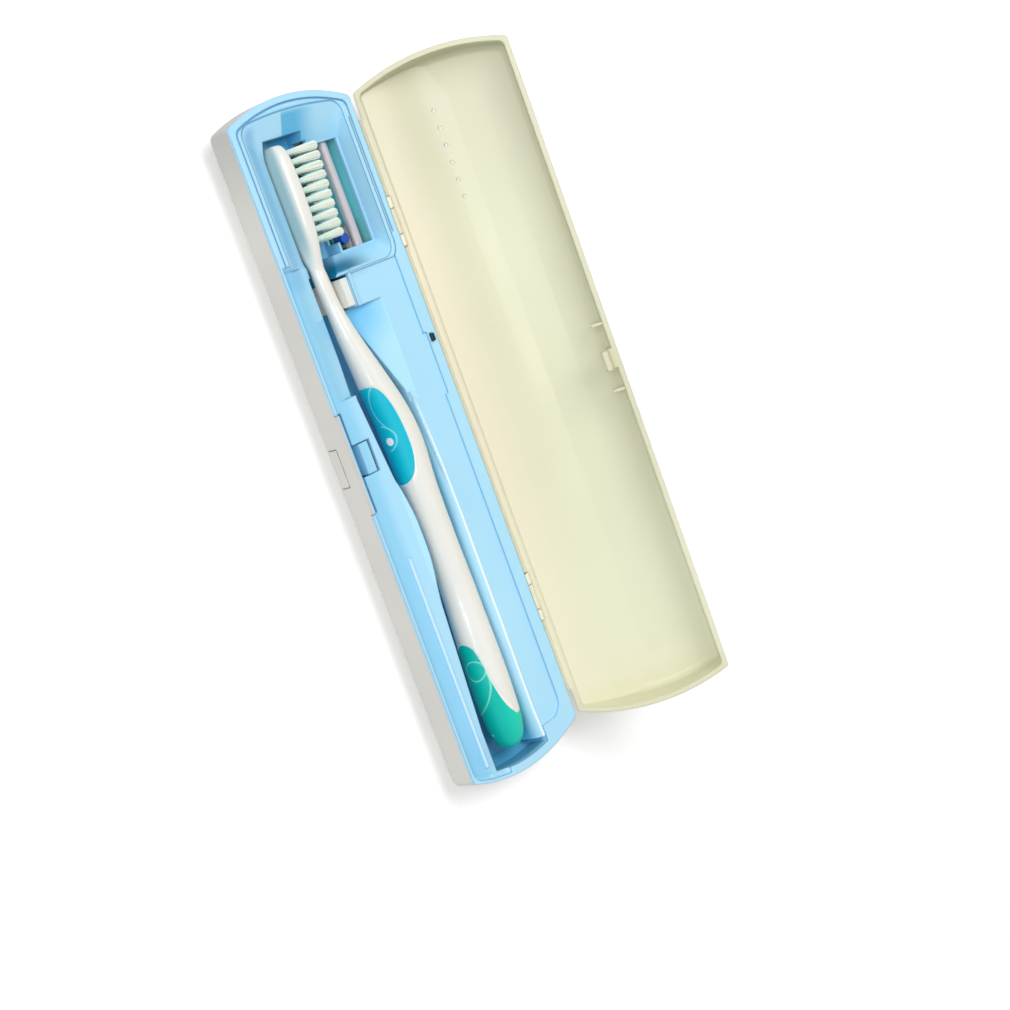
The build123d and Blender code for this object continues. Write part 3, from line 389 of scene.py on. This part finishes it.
# Lid: a thin-walled cream moulding, smooth inside and out, that swings on two hinge pins
# behind the base. Warm light is painted into its cream by the hinge and over the half towards
# the handle, and shade at the free edge, over the half towards the head and at both ends.
cream = moulded(
    "cream_lid_plastic",
    colour=(221, 219, 189),
    deeper=(215, 214, 183),
    roughness=0.36,
    grain=0.04,
    coat=0.2,
    rounding=edge_rounding,
)
towards_hinge = (0, -0.563, -0.8265)
# Painted warm light on the hinge side of the lid.
lid_hinge_side_painted_light = along(cream, towards_hinge, -43.0, -31.0)
tint(cream, lid_hinge_side_painted_light, colour=(229, 221, 196), strength=0.9)
# Painted shade along the lid's free edge.
lid_free_edge_painted_shade = along(cream, towards_hinge, -70.5, -73.5)
tint(cream, lid_free_edge_painted_shade, colour=(205, 202, 170), strength=0.8)
# Painted light over the half towards the handle, painted shade over the half towards the head.
lid_handle_half_painted_light = along(cream, lengthwise, 0.0, 75.0)
tint(cream, lid_handle_half_painted_light, colour=(232, 231, 203), strength=0.6)
lid_head_half_painted_shade = along(cream, lengthwise, -45.0, -95.0)
tint(cream, lid_head_half_painted_shade, colour=(206, 203, 176), strength=0.65)
# Painted shade at both ends of the lid.
lid_handle_end_painted_shade = along(cream, lengthwise, 94.0, 104.0)
tint(cream, lid_handle_end_painted_shade, colour=(212, 208, 172), strength=0.5)
lid_head_end_painted_shade = along(cream, lengthwise, -92.0, -103.0)
tint(cream, lid_head_end_painted_shade, colour=(205, 202, 168), strength=0.5)
dress(cream, "lid_shell")

# Lamp: a thin tube of milky glass under the chamber's window, held in a white socket at each
# end, with a bent teal-coated sheet behind it. The neck rest is a white moulding like the
# sockets, set into the tray beside the chamber.
lamp_glass = moulded(
    "milky_lamp_glass",
    colour=(206, 198, 202),
    deeper=(186, 178, 184),
    roughness=0.12,
    grain=0.0,
    coat=0.6,
)
dress(lamp_glass, "uv_lamp")
white = moulded(
    "white_socket_plastic",
    colour=(236, 236, 230),
    deeper=(228, 228, 222),
    roughness=0.4,
    grain=0.04,
    coat=0.1,
    rounding=edge_rounding,
)
dress(white, "lamp_holder_head", "lamp_holder_neck", "neck_rest")
teal = moulded(
    "teal_reflector_coat",
    colour=(140, 232, 240),
    deeper=(130, 226, 235),
    roughness=0.3,
    grain=0.02,
    coat=0.4,
)
dress(teal, "lamp_reflector")

# Electronics: a green laminate board under the deck, with a black chip, blue sleeved
# capacitors and a winding in yellow tape. The lid switch stands in the rim, and the lid's
# edge presses its small dark button. Each has its finish, colour, deeper colour and roughness.
electronics = {
    "circuit_board": ("green_board_laminate", (60, 135, 100), (50, 120, 88), 0.4),
    "inverter_transformer": ("yellow_winding_tape", (215, 185, 70), (200, 168, 58), 0.5),
    "timer_chip": ("black_chip_moulding", (38, 38, 42), (30, 30, 33), 0.5),
    "board_capacitors": ("blue_capacitor_sleeve", (40, 90, 185), (32, 76, 168), 0.35),
    "lid_switch_body": ("black_switch_plastic", (34, 35, 40), (28, 29, 33), 0.5),
    "switch_plunger": ("dark_switch_button", (30, 44, 62), (22, 34, 50), 0.35),
}
for name, finish in electronics.items():
    dress(moulded(*finish), name)

# Metal parts: plated sheet contacts, bright steel hinge pins and four plated screws from
# below. The two batteries between the contacts have plain dark sleeves.
steel = moulded(
    "bright_steel",
    colour=(200, 200, 198),
    deeper=(184, 184, 182.16),
    roughness=0.28,
    grain=0.08,
)
fill(steel.node_tree.nodes["Principled BSDF"], {"Metallic": 1.0})
dress(steel, "battery_contact_plus", "battery_contact_minus")
dress(steel, "hinge_pin_head", "hinge_pin_handle", "case_screws")
sleeve = moulded(
    "dark_battery_sleeve",
    colour=(70, 76, 86),
    deeper=(58, 64, 74),
    roughness=0.3,
    grain=0.02,
    coat=0.5,
)
dress(sleeve, "battery_1", "battery_2")


# Toothbrush: a glossy white moulded handle whose neck swells smoothly into the head. The head
# is drawn out of the neck ring by ring, and its tip is closed. The brush lies on its side with
# the bristles towards the lamp, and a bright dot is let into its upper grip.
def ring_at(edges, x):
    """The open edges among the given ones that lie in the cross section at x, in millimetres."""
    near = 0.01
    return [e for e in edges if e.is_boundary and all(abs(1000 * v.co.x - x) < near for v in e.verts)]


brush_colour = (236, 235, 229)
brush_white = moulded(
    "white_brush_plastic",
    colour=brush_colour,
    deeper=(230, 229, 222),
    roughness=0.2,
    grain=0.02,
    coat=0.5,
)
# Painted shade and painted reflection of the tray's blue, on the back of the head.
head_back_painted_shade = overlap(
    brush_white,
    along(brush_white, crosswise, -9.2, -10.8),
    along(brush_white, lengthwise, -55.0, -68.0),
    along(brush_white, upwards, 16.5, 13.5),
)
tint(brush_white, head_back_painted_shade, colour=(122, 172, 174), strength=0.65)

# Each station is a place along the brush, the middle of the head across the case, half its
# thickness, half its width and how square its cross section is (2 is an ellipse).
head_stations = (
    (-58.5, -8.1, 2.4, 2.7, 2.1),
    (-61.0, -8.2, 2.45, 3.4, 2.4),
    (-64.0, -8.3, 2.5, 4.2, 2.9),
    (-67.5, -8.4, 2.5, 4.9, 3.6),
    (-72.0, -8.45, 2.5, 5.35, 4.2),
    (-79.0, -8.45, 2.5, 5.5, 4.6),
    (-86.0, -8.45, 2.5, 5.45, 4.6),
    (-89.5, -8.4, 2.45, 5.15, 4.4),
    (-91.8, -8.35, 2.35, 4.6, 4.0),
    (-93.3, -8.3, 2.15, 3.8, 3.6),
    (-94.1, -8.25, 1.8, 2.9, 3.2),
    (-94.38, -8.25, 1.1, 1.7, 2.8),
)
neck_cut, brush_middle = -56.5, 11.6
merge_distance = 0.000002
brush_form = bmesh.new()
brush_form.from_mesh(nodes["toothbrush_body"].data)
bmesh.ops.remove_doubles(brush_form, verts=brush_form.verts, dist=merge_distance)
bmesh.ops.bisect_plane(
    brush_form,
    geom=brush_form.verts[:] + brush_form.edges[:] + brush_form.faces[:],
    dist=merge_distance / 2,
    plane_co=millimetres(neck_cut, 0, 0),
    plane_no=lengthwise,
    clear_inner=True,
)
neck_ring = ring_at(brush_form.edges, neck_cut)
neck_places = [1000 * vert.co for vert in {vert for edge in neck_ring for vert in edge.verts}]
middle = sum(place.y for place in neck_places) / len(neck_places)
side = max(abs(place.y - middle) for place in neck_places)
rise = max(abs(place.z - brush_middle) for place in neck_places)
for head_x, next_middle, next_side, next_rise, square in head_stations:
    made = bmesh.ops.extrude_edge_only(brush_form, edges=neck_ring)["geom"]
    for vert in only(bmesh.types.BMVert, made):
        place = 1000 * vert.co
        angle = math.atan2((place.z - brush_middle) / rise, (place.y - middle) / side)
        across, up = math.cos(angle), math.sin(angle)
        reach = (abs(across) ** square + abs(up) ** square) ** (-1 / square)
        y, z = next_middle + next_side * reach * across, brush_middle + next_rise * reach * up
        vert.co = millimetres(head_x, y, z)
    neck_ring = ring_at(only(bmesh.types.BMEdge, made), head_x)
    middle, side, rise = next_middle, next_side, next_rise
bmesh.ops.contextual_create(brush_form, geom=neck_ring)
brush_mesh = finished(brush_form, "toothbrush_handle_and_head", 40.0)
toothbrush = mesh_object("toothbrush_handle_and_head", brush_mesh, brush_white)
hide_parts("toothbrush_body")
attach(toothbrush, "base")
dot_white = moulded(
    "bright_dot_plastic",
    colour=(252, 252, 250),
    deeper=(248, 248, 246),
    roughness=0.2,
    grain=0.0,
    coat=0.5,
)
dress(dot_white, "brush_grip_dot")


# Grips: two inlays of soft rubber moulded onto the handle, turquoise in the middle and green
# at the end. Each has thin lines in a paler tone, and the handle's white runs into the green
# one as a tongue.
def ring_line(material, centre_x, centre_z, radius, width=0.24):
    """A thin round line, as seen from the latch side."""
    away = distance(material, (centre_x, 0, centre_z), from_the_side)
    inside = ease(material, away, radius - 1.5 * width, radius - 0.5 * width)
    outside = ease(material, away, radius + 1.5 * width, radius + 0.5 * width)
    return overlap(material, inside, outside)


from_the_side = (1, 0, 1)
turquoise = moulded(
    "turquoise_grip_rubber",
    colour=(0, 192, 214),
    deeper=(0, 184, 207),
    roughness=0.42,
    grain=0.05,
    coat=0.1,
    specular=0.25,
)
turquoise_line = (140, 230, 240)
dot_curl = overlap(
    turquoise,
    ring_line(turquoise, -2.6, 11.2, radius=4.0),
    along(turquoise, upwards, 11.2, 12.5),
)
tint(turquoise, dot_curl, turquoise_line, strength=0.7)
curl_tail = overlap(
    turquoise,
    ring_line(turquoise, -12.0, 21.0, radius=9.5),
    along(turquoise, lengthwise, -5.8, -6.8),
    along(turquoise, upwards, 14.6, 14.2),
)
tint(turquoise, curl_tail, turquoise_line, strength=0.6)
dress(turquoise, "brush_grip_upper")
green = moulded(
    "green_grip_rubber",
    colour=(0, 190, 176),
    deeper=(0, 180, 166),
    roughness=0.4,
    grain=0.05,
    coat=0.1,
    specular=0.25,
)
green_line = (150, 236, 214)
paler_hinge_side = along(green, crosswise, -6.2, 1.0)
tint(green, paler_hinge_side, colour=(42, 214, 182), strength=0.9)
small_curl = ring_line(green, 73.2, 13.2, radius=3.1)
tint(green, small_curl, green_line, strength=0.6)
long_curl = overlap(
    green,
    ring_line(green, 76.5, 5.0, radius=11.4),
    along(green, lengthwise, 73.8, 74.8),
)
tint(green, long_curl, green_line, strength=0.65)
end_dot = around(green, (94.4, 0, 10.8), 0.3, 0.6, from_the_side)
tint(green, end_dot, colour=(180, 240, 224), strength=0.8)
white_tongue = around(green, (72.0, 0, 0), 4.9, 5.05, flat=(0.29, 1, 0))
tint(green, white_tongue, brush_colour)
dress(green, "brush_grip_lower")


# Bristles: 40 tufts of pale nylon strands, ten rows of four along the head. Each tuft fans out
# a little to its cut end, and the rows get shorter towards the neck.
def strand_places(circles, pitch):
    """Places in a round tuft: a strand in the middle and circles of 6, 12, 18 and so on."""
    angles = [math.radians(60 * corner) for corner in range(7)]
    corners = [Vector((math.cos(angle), math.sin(angle))) for angle in angles]
    places = [Vector((0, 0))]
    for circle in range(1, circles + 1):
        for here, there in zip(corners, corners[1:]):
            places += [(here * (circle - part) + there * part) * pitch for part in range(circle)]
    return places


tuft_rows, tuft_lines = 10, 4
first_row, row_pitch, line_pitch = -91.2, 2.92, 2.5
head_face, root_depth = -6.0, 0.6
longest, shortest = 11.4, 9.2
strand_circles, strand_pitch = 3, 0.335
end_radius = 0.165
root_radius = 0.8 * end_radius
root_spread_along, root_spread_up, end_spread = 0.62, 0.7, 1.2
most_sway, most_trim, doming = 0.07, 0.12, 0.12
luck = random.Random(7)
bristle_form = bmesh.new()
for row in range(tuft_rows):
    row_x = first_row + row * row_pitch
    row_end = head_face + longest - (longest - shortest) * row / (tuft_rows - 1)
    for line in range(tuft_lines):
        line_z = brush_middle + (line - (tuft_lines - 1) / 2) * line_pitch
        for right, up in strand_places(strand_circles, strand_pitch):
            root_x, root_z = row_x + right * root_spread_along, line_z + up * root_spread_up
            root = Vector((root_x, head_face - root_depth, root_z))
            sway = luck.uniform(-most_sway, most_sway)
            cut = row_end - doming * (right * right + up * up) + luck.uniform(-most_trim, 0.0)
            end = Vector((row_x + right * end_spread + sway, cut, line_z + up * end_spread))
            run = end - root
            turn = run.to_track_quat("Z", "Y").to_matrix().to_4x4()
            bmesh.ops.create_cone(
                bristle_form,
                cap_ends=True,
                segments=6,
                radius1=root_radius / 1000,
                radius2=end_radius / 1000,
                depth=run.length / 1000,
                matrix=Matrix.Translation((root + end) / 2000) @ turn,
            )
nylon = moulded(
    "pale_bristle_nylon",
    colour=(240, 247, 236),
    deeper=(230, 241, 228),
    roughness=0.4,
    grain=0.0,
)
shaded_roots = along(nylon, crosswise, -1.0, -5.8)
tint(nylon, shaded_roots, colour=(130, 208, 206), strength=0.4)
bristles = mesh_object("bristle_tufts", finished(bristle_form, "bristle_tufts", 40.0), nylon)
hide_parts("brush_bristles")
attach(bristles, "base")

# Ground: a wide white sheet of paper that the case lies on. It glows a little for the camera
# alone, so that it shows white and still takes the case's shadow.
ground_reach, ground_glow = 6.0, 0.2
ground_form = bmesh.new()
bmesh.ops.create_grid(ground_form, x_segments=1, y_segments=1, size=ground_reach)
ground_mesh = bpy.data.meshes.new("white_ground")
ground_form.to_mesh(ground_mesh)
ground_form.free()
paper = bpy.data.materials.new("white_ground_paper")
paper.use_nodes = True
paper_tree = paper.node_tree
paper_shader = paper_tree.nodes["Principled BSDF"]
fill(paper_shader, {"Base Color": (0.93, 0.93, 0.93, 1), "Emission Color": (1, 1, 1, 1)})
fill(paper_shader, {"Roughness": 0.9, "Specular IOR Level": 0.0})
seen = paper_tree.nodes.new("ShaderNodeLightPath")
glow = paper_tree.nodes.new("ShaderNodeMath")
glow.operation = "MULTIPLY"
glow.inputs[1].default_value = ground_glow
link(paper_tree, seen, "Is Camera Ray", glow, 0)
link(paper_tree, glow, 0, paper_shader, "Emission Strength")
ground_sheet = mesh_object("white_ground", ground_mesh, paper)

# Camera: where the photograph was taken from, on the latch side and above, and rolled so that
# the case lies from the upper left to the lower right.
camera_place = (-0.06084, -0.40127, 0.44669)
camera_heading, camera_roll, camera_tilt = -69.886, 8.647, -44.865
camera_data = bpy.data.cameras.new("camera")
camera_data.sensor_width = 36.0
camera_data.lens = 70.27
camera_data.clip_start = 0.01
camera_data.clip_end = 50.0
camera = bpy.data.objects.new("camera", camera_data)
camera_turn = (
    Matrix.Rotation(math.radians(camera_heading), 3, "Z")
    @ Matrix.Rotation(math.radians(camera_roll), 3, "Y")
    @ Matrix.Rotation(math.radians(camera_tilt), 3, "X")
)
camera.matrix_world = Matrix.Translation(camera_place) @ camera_turn.transposed().to_4x4()
scene.collection.objects.link(camera)
scene.camera = camera


# Light: a large soft lamp overhead, a weaker one from the front and an even white surround,
# all plain white, so that each colour renders about as it is written.
def soft_lamp(name, place, size, power):
    """A round lamp that faces the middle of the case."""
    light = bpy.data.lights.new(name, "AREA")
    light.shape = "DISK"
    light.size = size
    light.energy = power
    holder = bpy.data.objects.new(name, light)
    facing = (-Vector(place)).to_track_quat("-Z", "Y").to_matrix().to_4x4()
    holder.matrix_world = Matrix.Translation(place) @ facing
    scene.collection.objects.link(holder)


soft_lamp("overhead_lamp", place=(-0.5, -0.1, 1.3), size=0.9, power=10.0)
soft_lamp("front_lamp", place=(-0.2, -1.2, 0.9), size=0.8, power=8.0)
world = bpy.data.worlds.new("white_surround")
world.use_nodes = True
fill(world.node_tree.nodes["Background"], {"Color": (1, 1, 1, 1), "Strength": 0.42})
scene.world = world
scene.view_settings.view_transform = "Standard"
